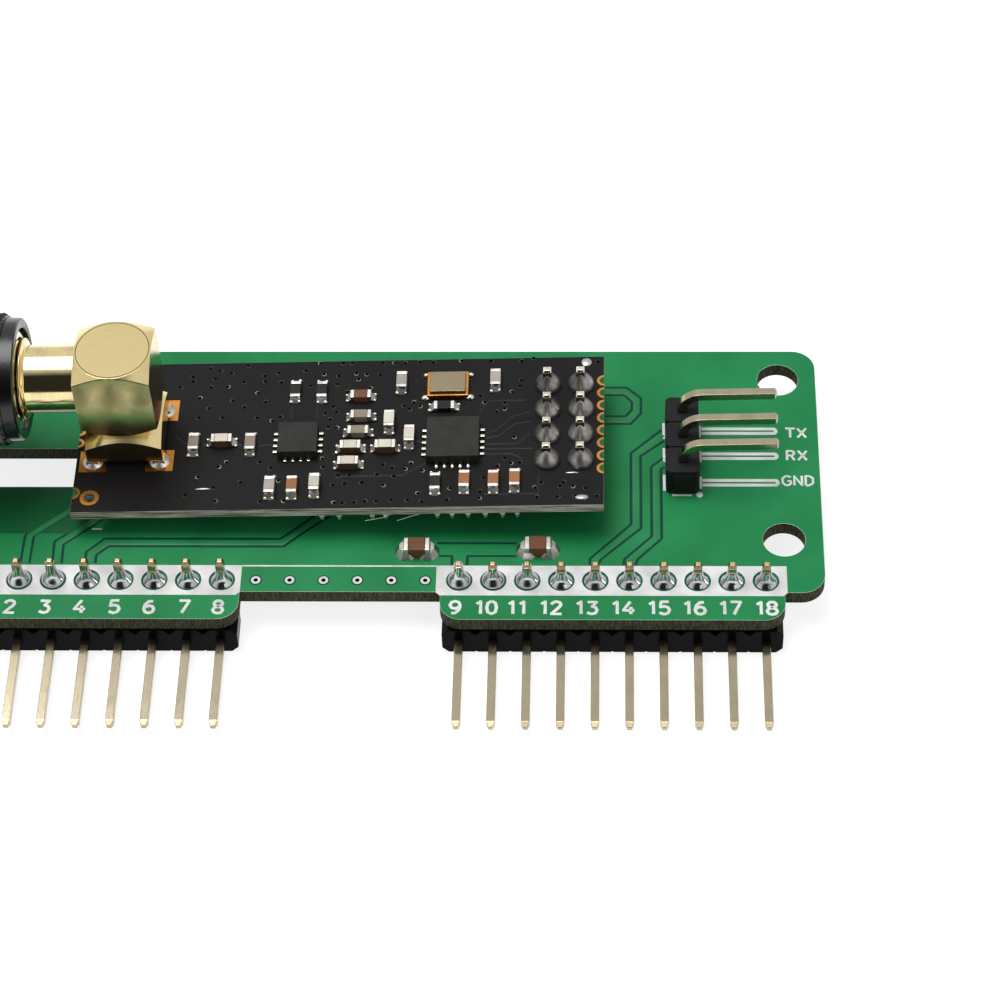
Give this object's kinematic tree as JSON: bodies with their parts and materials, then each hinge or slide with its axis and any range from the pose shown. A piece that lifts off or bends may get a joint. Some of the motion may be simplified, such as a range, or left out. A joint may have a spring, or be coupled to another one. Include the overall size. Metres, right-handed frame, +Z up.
{
  "type": "radio development board",
  "caption": "Green carrier board with pin headers, a black radio module stacked on its own header, a gold coaxial connector and a folding rod antenna.",
  "frame": {"origin": "centre of the four mounting holes, on the carrier board's underside", "axes": "+X along the pin row to the right, +Y to the board's back edge, +Z up, out of the side that carries the module"},
  "size_m": [0.1647, 0.035, 0.0178],
  "materials": {
    "carrier": "solder mask, semi-gloss",
    "header_plastic": "satin",
    "tinned_pins": "tin plated, bright",
    "solder": "bright solder",
    "chip_ends": "tin plated",
    "power_ceramic": "matt ceramic",
    "capacitor_ceramic": "matt ceramic",
    "inductor_ceramic": "matt ceramic",
    "resistor_coating": "glossy coating",
    "module": "solder mask, semi-gloss",
    "chip_plastic": "moulded epoxy",
    "crystal_rim": "metallised ceramic",
    "crystal_lid": "satin",
    "gold": "gold plated, bright",
    "insulator": "smooth",
    "plated_metal": "nickel plated",
    "antenna_plastic": "fine matt"
  },
  "bodies": {
    "board": {"carrier_board": "carrier", "left_header_body": "header_plastic", "right_header_body": "header_plastic", "serial_header_body": "header_plastic", "module_header_body": "header_plastic", "left_header_pins": "tinned_pins", "right_header_pins": "tinned_pins", "serial_header_pins": "tinned_pins", "module_header_pins": "tinned_pins", "left_header_solder": "solder", "right_header_solder": "solder", "serial_header_solder": "solder", "power_capacitor_solder": "solder", "module_top_solder": "solder", "module_bottom_solder": "solder", "component_solder": "solder", "connector_solder": "solder", "chip_leads": "solder", "power_capacitor_ends": "chip_ends", "component_ends": "chip_ends", "power_capacitors": "power_ceramic", "capacitor_bodies": "capacitor_ceramic", "inductor_bodies": "inductor_ceramic", "resistor_bodies": "resistor_coating", "module_board": "module", "radio_chip": "chip_plastic", "amplifier_chip": "chip_plastic", "crystal_base": "crystal_rim", "crystal_lid": "crystal_lid", "connector_block": "gold", "connector_barrel": "gold", "connector_contact": "gold", "connector_insulator": "insulator", "antenna_nut": "plated_metal", "antenna_sleeve": "antenna_plastic"},
    "antenna_swivel": {"antenna_base": "antenna_plastic", "antenna_ferrule": "plated_metal", "hinge_pin": "plated_metal"},
    "whip": {"antenna_whip": "antenna_plastic", "antenna_cap": "antenna_plastic"}
  },
  "joints": [
    {"name": "antenna_turn", "type": "hinge", "parent": "board", "child": "antenna_swivel", "pos_m": [-0.04962, -0.00008, 0.00972], "axis": [0.9997, 0, 0.0262], "range_deg": [-180, 180]},
    {"name": "antenna_fold", "type": "hinge", "parent": "antenna_swivel", "child": "whip", "pos_m": [-0.04962, -0.00008, 0.00972], "axis": [0, 1, 0], "range_deg": [0, 90]}
  ]
}
